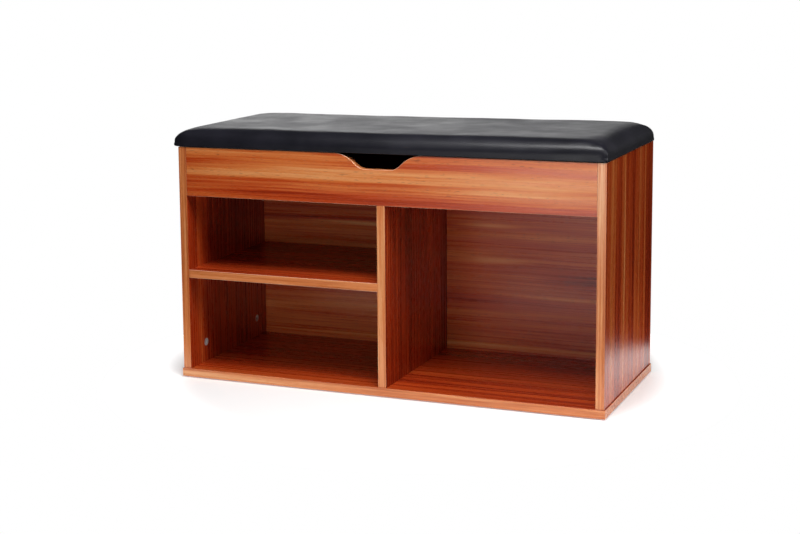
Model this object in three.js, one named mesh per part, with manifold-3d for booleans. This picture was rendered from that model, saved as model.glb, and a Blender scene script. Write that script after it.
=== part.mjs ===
// Entryway shoe bench: an open two-bay cabinet with a hidden tray under a hinged, padded lid.
// Millimetres, +Z up, +Y to the back. The origin is on the floor, under the middle of the bench.

import * as THREE from 'three';
import { mergeVertices } from 'three/addons/utils/BufferGeometryUtils.js';
import Module from 'manifold-3d';

const wasm = await Module();
wasm.setup();

// ---- Cabinet ----
const benchWidth = 800;
const sideDepth = 340;
const sideHeight = 415;
const boardThickness = 15;
const baseOverhang = 2;
const fasciaHeight = 90;
const lowerBayHeight = 172;
const dividerOffset = 0;
const backInset = 5;
const backDrop = 1;
const boardGap = 0.2;

// ---- Finger notch in the fascia ----
const notchOffset = -6;
const notchDepth = 27;
const notchFloorWidth = 66;
const notchMouthWidth = 124;
const notchFloorRadius = 28;
const notchRimRadius = 54;

// ---- Padded lid ----
const lidOverhang = 2;
const lidThickness = 36;
const lidGap = 1;
const lidBoardThickness = 12;
const coverThickness = 1;
const coverTurnIn = 22;
const coverRounding = 16;
const coverCornerRadius = 20;
const liningThickness = 0.7;
const paddingGap = 0.3;

// ---- Butt hinges ----
const hingeEndDistance = 130;
const hingeLength = 50;
const leafWidth = 22;
const leafThickness = 1.2;
const barrelRadius = 2.8;
const pinRadius = 1.4;
const pinBoreRadius = 1.5;
const pinHeadRadius = 2.3;
const pinHeadThickness = 0.8;
const pinHeadGap = 0.2;
const knuckleGap = 0.4;
const leafGap = 0.2;
const screwSpacing = 32;
const screwFromAxis = 14;

// ---- Wood screws of the hinges ----
const screwHeadRadius = 3;
const screwHeadDepth = 1.1;
const screwShankRadius = 1.4;
const screwLength = 11;
const screwTipLength = 3;
const screwTipRadius = 0.4;
const screwHeadRise = 0.2;
const screwHoleRise = 2;
const screwClearance = 0.2;
const crossRecessWidth = 0.7;
const crossRecessDepth = 0.8;
const crossRecessReach = 1.8;

// ---- Folding lid stays ----
const stayBackClearance = 10.5;
const stayFloorClearance = 15.5;
const stayReachPerDrop = 0.974;
const lidPivotDrop = 8;
const lowerArmShare = 0.46;
const openElbowAngle = THREE.MathUtils.degToRad(160);
const armWidth = 12;
const armThickness = 2;
const stayPlateThickness = 1.5;
const stayGap = 0.3;
const stayPlateHalfWidth = 8;
const stayPlateRise = 22;
const lidBracketLength = 34;
const lidBracketFlange = 14;
const lidBracketRim = 0.5;
const rivetRadius = 2;
const rivetClearance = 0.2;
const rivetHeadRadius = 3.6;
const rivetHeadThickness = 1;

// ---- Cam locks and their dowels, at the foot of each upright ----
const camRadius = 7.3;
const camFromEdge = 37;
const camFromEnd = 62;
const camSkin = 2.6;
const camClearance = 0.2;
const camHollowStart = 1.6;
const camHollowLength = 8.4;
const camHollowRadius = 4;
const camRecessLength = 8;
const camRecessWidth = 1.4;
const camRecessDepth = 2.2;
const dowelShankRadius = 3.2;
const dowelNeckRadius = 1.9;
const dowelHeadRadius = 2.8;
const dowelHeadLength = 2.6;
const dowelCollarRadius = 4.4;
const dowelCollarThickness = 1;
const dowelThreadRadius = 2.8;
const dowelTipRadius = 1.7;
const dowelTipLength = 2;
const dowelHeadTopRadius = 1.4;
const dowelHeadTaper = 0.9;
const dowelSkin = 3.6;
const dowelClearance = 0.3;

// ---- Glides under the base and bumpers under the lid ----
const glideHeight = 2;
const glideRadius = 10;
const glideInset = 30;
const glideFaceRadius = 8.5;
const glideRoundHeight = 0.9;
const glideNailRadius = 1.1;
const glideNailTip = 2;
const glideNailLength = 9;
const glideGap = 0.2;
const bumperRadius = 5;
const bumperTopRadius = 4;
const bumperInset = 22;
const bumperGap = 0.1;

// ---- Smoothness of round shapes ----
const wideSides = 20;
const boreSides = 12;
const arcSteps = 4;
const notchArcSteps = 10;
const plateArcSteps = 8;

// ---- Levels and faces worked out from the sizes above ----
const baseTop = glideHeight + boardThickness;
const sideTop = baseTop + sideHeight;
const fasciaBottom = sideTop - fasciaHeight;
const trayFloorTop = fasciaBottom + boardThickness;
const shelfBottom = baseTop + lowerBayHeight;
const shelfTop = shelfBottom + boardThickness;
const lidBottom = sideTop + lidGap;
const frontY = -sideDepth / 2;
const rearY = sideDepth / 2;
const sideOuterX = benchWidth / 2 - baseOverhang;
const sideInnerX = sideOuterX - boardThickness;
const backRearY = rearY - backInset;
const backFrontY = backRearY - boardThickness;
const baseDepth = sideDepth + 2 * baseOverhang;
const lidWidth = 2 * (sideOuterX + lidOverhang);
const lidDepth = sideDepth + 2 * lidOverhang;
const hingeY = backRearY + leafGap + barrelRadius;
const hingeZ = lidBottom - leafGap - barrelRadius;
const knuckleLength = hingeLength / 3;

// ---- Materials ----
const laminate = new THREE.MeshStandardMaterial({ color: 0x8a3a1c, roughness: 0.35, metalness: 0 });
const rawBoard = new THREE.MeshStandardMaterial({ color: 0xb08d62, roughness: 0.9, metalness: 0 });
const foam = new THREE.MeshStandardMaterial({ color: 0xe6dfc8, roughness: 1, metalness: 0 });
const fauxLeather = new THREE.MeshStandardMaterial({ color: 0x1b1d1f, roughness: 0.5, metalness: 0 });
const lining = new THREE.MeshStandardMaterial({ color: 0x202122, roughness: 0.95, metalness: 0 });
const zincSteel = new THREE.MeshStandardMaterial({ color: 0xc3c6c9, roughness: 0.3, metalness: 1 });
const castZinc = new THREE.MeshStandardMaterial({ color: 0xa9abad, roughness: 0.45, metalness: 1 });
const glidePlastic = new THREE.MeshStandardMaterial({ color: 0x2a2421, roughness: 0.6, metalness: 0 });
const softRubber = new THREE.MeshStandardMaterial({ color: 0xd9d6cf, roughness: 0.4, metalness: 0 });

const bench = new THREE.Group();
const cabinet = new THREE.Group();
const lid = new THREE.Group();
const stays = new THREE.Group();
bench.add(cabinet, lid, stays);

// ---- Solid helpers ----

function toSolid(geometry) {
  const bare = geometry.clone();
  bare.deleteAttribute('normal');
  bare.deleteAttribute('uv');
  const merged = mergeVertices(bare, 1e-4);
  const vertProperties = new Float32Array(merged.attributes.position.array);
  const triVerts = new Uint32Array(merged.index.array);
  return new wasm.Manifold(new wasm.Mesh({ numProp: 3, vertProperties, triVerts }));
}

function toGeometry(solid) {
  const mesh = solid.getMesh();
  const geometry = new THREE.BufferGeometry();
  geometry.setAttribute('position', new THREE.BufferAttribute(mesh.vertProperties, 3));
  geometry.setIndex(new THREE.BufferAttribute(mesh.triVerts, 1));
  geometry.computeVertexNormals();
  return geometry;
}

function subtract(geometry, tools) {
  let solid = toSolid(geometry);
  for (const tool of tools) {
    solid = solid.subtract(toSolid(tool));
  }
  return toGeometry(solid);
}

function unite(geometries) {
  let solid = toSolid(geometries[0]);
  for (const geometry of geometries.slice(1)) {
    solid = solid.add(toSolid(geometry));
  }
  return toGeometry(solid);
}

function addPart(parent, name, geometry, material, position, rotation = [0, 0, 0]) {
  const mesh = new THREE.Mesh(geometry, material);
  mesh.name = name;
  mesh.position.set(...position);
  mesh.rotation.set(...rotation);
  parent.add(mesh);
}

// A box from its lowest to its highest corner.
function box(low, high) {
  const size = high.map((value, i) => value - low[i]);
  const middle = high.map((value, i) => (value + low[i]) / 2);
  return new THREE.BoxGeometry(...size).translate(...middle);
}

// A cylinder that starts at a point and runs along an axis: 'x', 'y' or 'z', by a signed length.
function rod(start, axis, length, radius, sides = boreSides) {
  const geometry = new THREE.CylinderGeometry(radius, radius, Math.abs(length), sides);
  geometry.translate(0, length / 2, 0);
  if (axis === 'x') {
    geometry.rotateZ(-Math.PI / 2);
  }
  if (axis === 'z') {
    geometry.rotateX(Math.PI / 2);
  }
  return geometry.translate(...start);
}

// Turns a solid from radius and height pairs about its own Y axis.
function turned(profile, sides = boreSides) {
  const points = profile.map(([radius, height]) => new THREE.Vector2(radius, height));
  return new THREE.LatheGeometry(points, sides);
}

// A flat board between two corners. Its cutting tools are given in the bench's own frame.
function addBoard(name, low, high, tools = []) {
  const middle = high.map((value, i) => (value + low[i]) / 2);
  const size = high.map((value, i) => value - low[i]);
  const localTools = tools.map((tool) => tool.translate(-middle[0], -middle[1], -middle[2]));
  addPart(cabinet, name, subtract(new THREE.BoxGeometry(...size), localTools), laminate, middle);
}

// ---- Cam lock joints between the base and the uprights ----

// Each upright's board faces, and the side its cams are set into.
const uprights = [
  { name: 'left', lowX: -sideOuterX, highX: -sideInnerX, camSide: 1 },
  { name: 'divider', lowX: dividerOffset - boardThickness / 2, highX: dividerOffset + boardThickness / 2,
    camSide: -1 },
  { name: 'right', lowX: sideInnerX, highX: sideOuterX, camSide: -1 },
];
const camRows = [
  { name: 'front', y: frontY + camFromEnd },
  { name: 'rear', y: rearY - camFromEnd },
];
const camDepth = boardThickness - camSkin;
const camZ = baseTop + camFromEdge;
const dowelThreadLength = boardThickness - dowelSkin;
const dowelShankTop = camFromEdge - camRadius - camClearance;

function uprightMiddleX(upright) {
  return (upright.lowX + upright.highX) / 2;
}

function camFaceX(upright) {
  return upright.camSide > 0 ? upright.highX : upright.lowX;
}

// The blind hole for each cam, and the hole that its dowel comes up through.
function camHoles(upright) {
  const tools = [];
  for (const row of camRows) {
    const outside = camFaceX(upright) + upright.camSide;
    const depth = camDepth + 1 + camClearance;
    const mouth = [outside, row.y, camZ];
    tools.push(rod(mouth, 'x', -upright.camSide * depth, camRadius + camClearance, wideSides));
    const foot = [uprightMiddleX(upright), row.y, baseTop - 1];
    tools.push(rod(foot, 'z', camFromEdge, dowelShankRadius + dowelClearance));
    const collarHeight = dowelCollarThickness + dowelClearance;
    tools.push(rod(foot, 'z', 1 + collarHeight, dowelCollarRadius + dowelClearance));
  }
  return tools;
}

function dowelHolesInBase() {
  const tools = [];
  for (const upright of uprights) {
    for (const row of camRows) {
      const mouth = [uprightMiddleX(upright), row.y, baseTop + 1];
      const depth = 1 + dowelThreadLength + dowelClearance;
      tools.push(rod(mouth, 'z', -depth, dowelThreadRadius + dowelClearance));
    }
  }
  return tools;
}

// The cam: a disc with a thin rim, a hole for the dowel's head and a cross for the screwdriver.
function camGeometry() {
  const body = rod([0, 0, 0], 'x', camDepth, camRadius, wideSides);
  const headHole = rod([camDepth - boardThickness / 2, 0, -camRadius - 1], 'z',
    camRadius + 1 + dowelHeadLength, dowelHeadRadius + dowelClearance);
  const hollow = rod([camHollowStart, 0, 0], 'x', camHollowLength, camHollowRadius);
  const mouth = camDepth - camRecessDepth;
  const bars = [[camRecessLength, camRecessWidth], [camRecessWidth, camRecessLength]].map(([y, z]) =>
    box([mouth, -y / 2, -z / 2], [camDepth + 1, y / 2, z / 2]));
  return subtract(body, [headHole, hollow, ...bars]);
}

// The dowel: a threaded foot, a collar on the base, a plain shank and a head that the cam grips.
function dowelGeometry() {
  const top = camFromEdge + dowelHeadLength / 2;
  return turned([
    [0, -dowelThreadLength],
    [dowelTipRadius, -dowelThreadLength],
    [dowelThreadRadius, dowelTipLength - dowelThreadLength],
    [dowelThreadRadius, dowelClearance],
    [dowelCollarRadius, dowelClearance],
    [dowelCollarRadius, dowelClearance + dowelCollarThickness],
    [dowelShankRadius, dowelClearance + dowelCollarThickness],
    [dowelShankRadius, dowelShankTop],
    [dowelNeckRadius, dowelShankTop],
    [dowelNeckRadius, top - dowelHeadLength],
    [dowelHeadRadius, top - dowelHeadLength],
    [dowelHeadRadius, top - dowelHeadTaper],
    [dowelHeadTopRadius, top],
    [0, top],
  ]);
}

function addCamJoints() {
  for (const upright of uprights) {
    for (const row of camRows) {
      const label = `${upright.name}_${row.name}`;
      const innerX = camFaceX(upright) - upright.camSide * camDepth;
      const turn = upright.camSide > 0 ? 0 : Math.PI;
      addPart(cabinet, `${label}_cam_lock`, camGeometry(), castZinc, [innerX, row.y, camZ], [0, 0, turn]);
      addPart(cabinet, `${label}_cam_dowel`, dowelGeometry(), zincSteel,
        [uprightMiddleX(upright), row.y, baseTop], [Math.PI / 2, 0, 0]);
    }
  }
}

// ---- Glides ----

function glidePlaces() {
  const x = benchWidth / 2 - glideInset;
  const y = baseDepth / 2 - glideInset;
  return [
    ['front_left_glide', -x, -y],
    ['front_right_glide', x, -y],
    ['rear_left_glide', -x, y],
    ['rear_right_glide', x, y],
  ];
}

// A low round foot with the nail that holds it in the base.
function addGlides() {
  const top = glideHeight - glideGap;
  const profile = [
    [0, 0],
    [glideFaceRadius, 0],
    [glideRadius, glideRoundHeight],
    [glideRadius, top],
    [glideNailRadius, top],
    [glideNailRadius, top + glideNailLength - glideNailTip],
    [0, top + glideNailLength],
  ];
  for (const [name, x, y] of glidePlaces()) {
    addPart(cabinet, name, turned(profile, wideSides), glidePlastic, [x, y, 0], [Math.PI / 2, 0, 0]);
  }
}

function glideNailHoles() {
  return glidePlaces().map(([, x, y]) =>
    rod([x, y, glideHeight - 1], 'z', 1 + glideNailLength, glideNailRadius + glideGap));
}

// ---- Boards of the cabinet ----

function addBase() {
  addBoard('base_board',
    [-benchWidth / 2, -baseDepth / 2, glideHeight],
    [benchWidth / 2, baseDepth / 2, baseTop],
    [...dowelHolesInBase(), ...glideNailHoles()]);
}

function addSidePanels() {
  const names = { left: 'left_side_panel', right: 'right_side_panel' };
  for (const upright of uprights.filter((each) => names[each.name])) {
    addBoard(names[upright.name],
      [upright.lowX, frontY, baseTop + boardGap],
      [upright.highX, rearY, sideTop],
      camHoles(upright));
  }
}

function addDivider() {
  const upright = uprights.find((each) => each.name === 'divider');
  addBoard('centre_divider',
    [upright.lowX, frontY, baseTop + boardGap],
    [upright.highX, backFrontY - boardGap, fasciaBottom - boardGap],
    camHoles(upright));
}

function addShelf() {
  addBoard('left_bay_shelf',
    [-sideInnerX + boardGap, frontY, shelfBottom],
    [dividerOffset - boardThickness / 2 - boardGap, backFrontY - boardGap, shelfTop]);
}

function addTrayFloor() {
  addBoard('tray_floor',
    [-sideInnerX + boardGap, frontY + boardThickness + boardGap, fasciaBottom],
    [sideInnerX - boardGap, backFrontY - boardGap, trayFloorTop]);
}

function addBackPanel() {
  const holes = [-1, 1].flatMap((side) => fixedLeafScrewPlaces(side).map(([x, y, z]) =>
    screwHole().translate(x, y, z)));
  addBoard('back_panel',
    [-sideInnerX + boardGap, backFrontY, baseTop + boardGap],
    [sideInnerX - boardGap, backRearY, sideTop - backDrop],
    holes);
}

// Rounds the corner between two straight lines, from a point on the first to a point on the second.
function roundCorner(path, before, corner, after, radius) {
  const inward = before.clone().sub(corner).normalize();
  const outward = after.clone().sub(corner).normalize();
  const half = inward.angleTo(outward) / 2;
  const trim = radius / Math.tan(half);
  const start = corner.clone().addScaledVector(inward, trim);
  const end = corner.clone().addScaledVector(outward, trim);
  const middle = inward.add(outward).normalize();
  const centre = corner.clone().addScaledVector(middle, radius / Math.sin(half));
  const startAngle = Math.atan2(start.y - centre.y, start.x - centre.x);
  const endAngle = Math.atan2(end.y - centre.y, end.x - centre.x);
  const sweep = Math.atan2(Math.sin(endAngle - startAngle), Math.cos(endAngle - startAngle));
  path.lineTo(start.x, start.y);
  path.absarc(centre.x, centre.y, radius, startAngle, startAngle + sweep, sweep < 0);
}

// The fascia's front outline, drawn in X and Z about the middle of its foot.
function fasciaOutline() {
  const halfWidth = sideInnerX - boardGap;
  const floor = fasciaHeight - notchDepth;
  const corners = [
    new THREE.Vector2(halfWidth, fasciaHeight),
    new THREE.Vector2(notchOffset + notchMouthWidth / 2, fasciaHeight),
    new THREE.Vector2(notchOffset + notchFloorWidth / 2, floor),
    new THREE.Vector2(notchOffset - notchFloorWidth / 2, floor),
    new THREE.Vector2(notchOffset - notchMouthWidth / 2, fasciaHeight),
    new THREE.Vector2(-halfWidth, fasciaHeight),
  ];
  const radii = [0, notchRimRadius, notchFloorRadius, notchFloorRadius, notchRimRadius];
  const outline = new THREE.Shape();
  outline.moveTo(-halfWidth, 0);
  outline.lineTo(halfWidth, 0);
  outline.lineTo(halfWidth, fasciaHeight);
  for (let i = 1; i <= 4; i += 1) {
    roundCorner(outline, corners[i - 1], corners[i], corners[i + 1], radii[i]);
  }
  outline.lineTo(-halfWidth, fasciaHeight);
  outline.lineTo(-halfWidth, 0);
  return outline;
}

function addFascia() {
  const settings = { depth: boardThickness, bevelEnabled: false, curveSegments: notchArcSteps };
  const geometry = new THREE.ExtrudeGeometry(fasciaOutline(), settings);
  geometry.rotateX(Math.PI / 2);
  addPart(cabinet, 'front_fascia', toGeometry(toSolid(geometry)), laminate,
    [0, frontY + boardThickness, fasciaBottom]);
}

// ---- Padded lid ----

// A slab with rounded plan corners and, where rounding is above zero, a rounded top edge.
function paddedSlab(width, depth, height, cornerRadius, rounding) {
  const x = width / 2;
  const y = depth / 2;
  const plan = new THREE.Shape();
  plan.moveTo(-x + cornerRadius, -y);
  plan.lineTo(x - cornerRadius, -y);
  plan.absarc(x - cornerRadius, -y + cornerRadius, cornerRadius, -Math.PI / 2, 0, false);
  plan.lineTo(x, y - cornerRadius);
  plan.absarc(x - cornerRadius, y - cornerRadius, cornerRadius, 0, Math.PI / 2, false);
  plan.lineTo(-x + cornerRadius, y);
  plan.absarc(-x + cornerRadius, y - cornerRadius, cornerRadius, Math.PI / 2, Math.PI, false);
  plan.lineTo(-x, -y + cornerRadius);
  plan.absarc(-x + cornerRadius, -y + cornerRadius, cornerRadius, Math.PI, Math.PI * 1.5, false);
  if (rounding <= 0) {
    return new THREE.ExtrudeGeometry(plan, { depth: height, bevelEnabled: false, curveSegments: arcSteps });
  }
  const slab = new THREE.ExtrudeGeometry(plan, {
    depth: height - rounding,
    bevelEnabled: true,
    bevelThickness: rounding,
    bevelSize: rounding,
    bevelOffset: -rounding,
    bevelSegments: arcSteps,
    curveSegments: arcSteps,
  });
  return subtract(slab, [box([-x - 1, -y - 1, -rounding - 1], [x + 1, y + 1, 0])]);
}

const padInset = coverThickness + paddingGap;

// The stretched cover: a thin shell turned in under the lid, open in the middle of its underside.
function coverGeometry() {
  const outer = paddedSlab(lidWidth, lidDepth, lidThickness, coverCornerRadius, coverRounding);
  const inner = paddedSlab(lidWidth - 2 * coverThickness, lidDepth - 2 * coverThickness,
    lidThickness - 2 * coverThickness, coverCornerRadius - coverThickness, coverRounding - coverThickness);
  inner.translate(0, 0, coverThickness);
  const opening = box(
    [-lidWidth / 2 + coverTurnIn, -lidDepth / 2 + coverTurnIn, -1],
    [lidWidth / 2 - coverTurnIn, lidDepth / 2 - coverTurnIn, coverThickness + 1]);
  return subtract(outer, [inner, opening, ...lidScrewHoles(lidBottom)]);
}

function addLid() {
  addPart(lid, 'seat_cover', coverGeometry(), fauxLeather, [0, 0, lidBottom]);

  const boardBottom = lidBottom + padInset;
  const boardPlan = [lidWidth - 2 * padInset, lidDepth - 2 * padInset];
  const lidBoard = paddedSlab(...boardPlan, lidBoardThickness, coverCornerRadius - padInset, 0);
  addPart(lid, 'lid_board', subtract(lidBoard, lidScrewHoles(boardBottom)), rawBoard, [0, 0, boardBottom]);

  const foamBottom = boardBottom + lidBoardThickness + paddingGap;
  const foamHeight = lidBottom + lidThickness - padInset - foamBottom;
  const pad = paddedSlab(...boardPlan, foamHeight, coverCornerRadius - padInset, coverRounding - padInset);
  addPart(lid, 'seat_foam', pad, foam, [0, 0, foamBottom]);

  const clothWidth = lidWidth - 2 * coverTurnIn - 2 * paddingGap;
  const clothDepth = lidDepth - 2 * coverTurnIn - 2 * paddingGap;
  const cloth = new THREE.BoxGeometry(clothWidth, clothDepth, liningThickness);
  addPart(lid, 'lid_lining', cloth, lining, [0, 0, lidBottom + coverThickness - liningThickness / 2]);
}

// Small soft bumpers on the side panels' top edges, which the lid comes down on.
function addBumpers() {
  const profile = [
    [0, 0],
    [bumperRadius, 0],
    [bumperRadius, (lidGap - 2 * bumperGap) / 2],
    [bumperTopRadius, lidGap - 2 * bumperGap],
    [0, lidGap - 2 * bumperGap],
  ];
  for (const [name, side] of [['left_lid_bumper', -1], ['right_lid_bumper', 1]]) {
    const x = side * (sideInnerX + boardThickness / 2);
    addPart(cabinet, name, turned(profile), softRubber,
      [x, frontY + bumperInset, sideTop + bumperGap], [Math.PI / 2, 0, 0]);
  }
}

// ---- Butt hinges ----

const hingeSides = [
  { name: 'left', side: -1 },
  { name: 'right', side: 1 },
];

function hingeX(side) {
  return side * (benchWidth / 2 - hingeEndDistance);
}

// A countersunk screw that points along -Y, with its head's flat top at the origin.
function screwProfile(clearance, headRise) {
  const shank = screwShankRadius + clearance;
  const head = screwHeadRadius + clearance;
  const tip = -screwLength - clearance;
  return [
    [0, tip],
    [screwTipRadius, tip],
    [shank, tip + screwTipLength],
    [shank, -screwHeadDepth],
    [head, 0],
    [head, headRise],
    [0, headRise],
  ];
}

function screwGeometry() {
  const body = turned(screwProfile(0, screwHeadRise));
  const bars = [[1, 0], [0, 1]].map(([a, b]) => {
    const x = a ? crossRecessReach : crossRecessWidth / 2;
    const z = b ? crossRecessReach : crossRecessWidth / 2;
    return box([-x, screwHeadRise - crossRecessDepth, -z], [x, 1, z]);
  });
  return subtract(body, bars);
}

function screwHole() {
  return turned(screwProfile(screwClearance, screwHoleRise));
}

const leafOuterOffset = barrelRadius - leafThickness;
const leafScrewSeat = 0.3;

function fixedLeafScrewPlaces(side) {
  const y = hingeY - leafOuterOffset - leafScrewSeat;
  return [-1, 1].map((end) => [hingeX(side) + end * screwSpacing / 2, y, hingeZ - screwFromAxis]);
}

function lidLeafScrewPlaces(side) {
  const z = hingeZ + leafOuterOffset + leafScrewSeat;
  return [-1, 1].map((end) => [hingeX(side) + end * screwSpacing / 2, hingeY - screwFromAxis, z]);
}

// The holes that the lid leaves' screws need in a piece whose own origin is at the given level.
function lidScrewHoles(level) {
  return [-1, 1].flatMap((side) => lidLeafScrewPlaces(side).map(([x, y, z]) =>
    screwHole().rotateX(-Math.PI / 2).translate(x, y, z - level)));
}

function knuckle(index, radius, gap) {
  const start = -hingeLength / 2 + index * knuckleLength + gap;
  return rod([start, 0, 0], 'x', knuckleLength - 2 * gap, radius);
}

// One leaf with its knuckles, about the pin's middle. The plate hangs down along -Z in front of the pin.
function leafGeometry(ownKnuckles, otherKnuckles) {
  const plate = box(
    [-hingeLength / 2, -barrelRadius, -leafWidth],
    [hingeLength / 2, -leafOuterOffset, 0]);
  const barrels = ownKnuckles.map((index) => knuckle(index, barrelRadius, knuckleGap / 2));
  const clearances = otherKnuckles.map((index) =>
    knuckle(index, barrelRadius + knuckleGap, -knuckleGap / 2));
  const bore = rod([-hingeLength, 0, 0], 'x', 2 * hingeLength, pinBoreRadius);
  const screws = [-1, 1].map((end) =>
    screwHole().translate(end * screwSpacing / 2, -leafOuterOffset - leafScrewSeat, -screwFromAxis));
  const body = toSolid(subtract(plate, [...clearances, ...screws]));
  const whole = barrels.reduce((sum, barrel) => sum.add(toSolid(barrel)), body);
  return toGeometry(whole.subtract(toSolid(bore)));
}

// The same leaf laid flat under the lid: the plate runs forward along -Y, above the pin.
function lidLeafGeometry() {
  return leafGeometry([1], [0, 2]).rotateX(-Math.PI / 2);
}

function pinGeometry() {
  const half = hingeLength / 2 + pinHeadGap;
  const profile = [
    [0, -half],
    [pinRadius, -half],
    [pinRadius, half],
    [pinHeadRadius, half],
    [pinHeadRadius, half + pinHeadThickness],
    [0, half + pinHeadThickness],
  ];
  return turned(profile).rotateZ(-Math.PI / 2);
}

function addHinges() {
  for (const { name, side } of hingeSides) {
    const middle = [hingeX(side), hingeY, hingeZ];
    addPart(cabinet, `${name}_hinge_fixed_leaf`, leafGeometry([0, 2], [1]), zincSteel, middle);
    addPart(lid, `${name}_hinge_lid_leaf`, lidLeafGeometry(), zincSteel, middle);
    addPart(cabinet, `${name}_hinge_pin`, pinGeometry(), zincSteel, middle);
    fixedLeafScrewPlaces(side).forEach((place, i) => {
      addPart(cabinet, `${name}_fixed_leaf_screw_${i + 1}`, screwGeometry(), zincSteel, place);
    });
    lidLeafScrewPlaces(side).forEach((place, i) => {
      addPart(lid, `${name}_lid_leaf_screw_${i + 1}`, screwGeometry(), zincSteel,
        place, [-Math.PI / 2, 0, 0]);
    });
  }
}

// ---- Folding lid stays ----

// The stay's pivots in the Y, Z plane: on the cabinet, on the lid, and the elbow between the arms.
function stayPivots() {
  const wallPivot = new THREE.Vector2(backFrontY - stayBackClearance, trayFloorTop + stayFloorClearance);
  const reach = (hingeZ - wallPivot.y) * stayReachPerDrop;
  const lidPivot = new THREE.Vector2(hingeY - reach, lidBottom - lidPivotDrop);
  const openLid = new THREE.Vector2(hingeY + (lidPivot.y - hingeZ), hingeZ + reach);
  const upperArmShare = 1 - lowerArmShare;
  const fold = 2 * lowerArmShare * upperArmShare * Math.cos(openElbowAngle);
  const span = Math.sqrt(lowerArmShare ** 2 + upperArmShare ** 2 - fold);
  const total = openLid.distanceTo(wallPivot) / span;
  const lower = total * lowerArmShare;
  const upper = total * upperArmShare;
  const between = lidPivot.clone().sub(wallPivot);
  const distance = between.length();
  const along = (lower ** 2 - upper ** 2 + distance ** 2) / (2 * distance);
  const aside = Math.sqrt(lower ** 2 - along ** 2);
  const direction = between.normalize();
  const elbow = new THREE.Vector2(
    wallPivot.x + along * direction.x - aside * direction.y,
    wallPivot.y + along * direction.y + aside * direction.x);
  return { wallPivot, lidPivot, elbow };
}

const pivots = stayPivots();
const lowerArmX = stayGap + stayPlateThickness + stayGap + armThickness / 2;
const upperArmX = lowerArmX + armThickness + stayGap;
const lidPlateX = upperArmX + armThickness / 2 + stayGap + stayPlateThickness / 2;

// Lays a shape drawn in X and Y into the Y, Z plane and centres its thickness on X = 0.
function sidePlate(outline, thickness) {
  const settings = { depth: thickness, bevelEnabled: false, curveSegments: plateArcSteps };
  const geometry = new THREE.ExtrudeGeometry(outline, settings).translate(0, 0, -thickness / 2);
  const basis = new THREE.Matrix4().makeBasis(
    new THREE.Vector3(0, 1, 0), new THREE.Vector3(0, 0, 1), new THREE.Vector3(1, 0, 0));
  return geometry.applyMatrix4(basis);
}

function addPivotHole(outline, x, y) {
  const hole = new THREE.Path();
  hole.absarc(x, y, rivetRadius + rivetClearance, 0, Math.PI * 2, true);
  outline.holes.push(hole);
}

// A flat bar with round ends, from its first pivot at the origin to its second along +Y.
function armGeometry(length) {
  const outline = new THREE.Shape();
  const half = armWidth / 2;
  outline.moveTo(0, -half);
  outline.lineTo(length, -half);
  outline.absarc(length, 0, half, -Math.PI / 2, Math.PI / 2, false);
  outline.lineTo(0, half);
  outline.absarc(0, 0, half, Math.PI / 2, Math.PI * 1.5, false);
  addPivotHole(outline, 0, 0);
  addPivotHole(outline, length, 0);
  return toGeometry(toSolid(sidePlate(outline, armThickness)));
}

// The plate on the side panel: round below the pivot, with a tongue above it for the screws.
function cabinetPlateGeometry() {
  const half = stayPlateHalfWidth;
  const outline = new THREE.Shape();
  outline.absarc(0, 0, half, Math.PI, 0, false);
  outline.lineTo(half, stayPlateRise);
  outline.lineTo(-half, stayPlateRise);
  outline.lineTo(-half, 0);
  addPivotHole(outline, 0, 0);
  return toGeometry(toSolid(sidePlate(outline, stayPlateThickness)));
}

// The angle bracket under the lid: a tab that carries the pivot and a flange against the lining.
function lidBracketGeometry(side) {
  const half = armWidth / 2 + lidBracketRim;
  const top = lidPivotDrop - stayGap;
  const outline = new THREE.Shape();
  outline.absarc(0, 0, half, Math.PI, 0, false);
  outline.lineTo(lidBracketLength / 2, top);
  outline.lineTo(-lidBracketLength / 2, top);
  outline.lineTo(-half, 0);
  addPivotHole(outline, 0, 0);
  const reach = side * (stayPlateThickness / 2 + lidBracketFlange);
  const edge = -side * stayPlateThickness / 2;
  const flange = box(
    [Math.min(-reach, -edge), -lidBracketLength / 2, top - stayPlateThickness],
    [Math.max(-reach, -edge), lidBracketLength / 2, top]);
  return unite([sidePlate(outline, stayPlateThickness), flange]);
}

// A rivet along X: heads are given as start and end, and the shank runs through everything between.
function rivetGeometry(low, high, heads) {
  const parts = [rod([low, 0, 0], 'x', high - low, rivetRadius)];
  for (const [start, end] of heads) {
    parts.push(rod([start, 0, 0], 'x', end - start, rivetHeadRadius));
  }
  return unite(parts);
}

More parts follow.
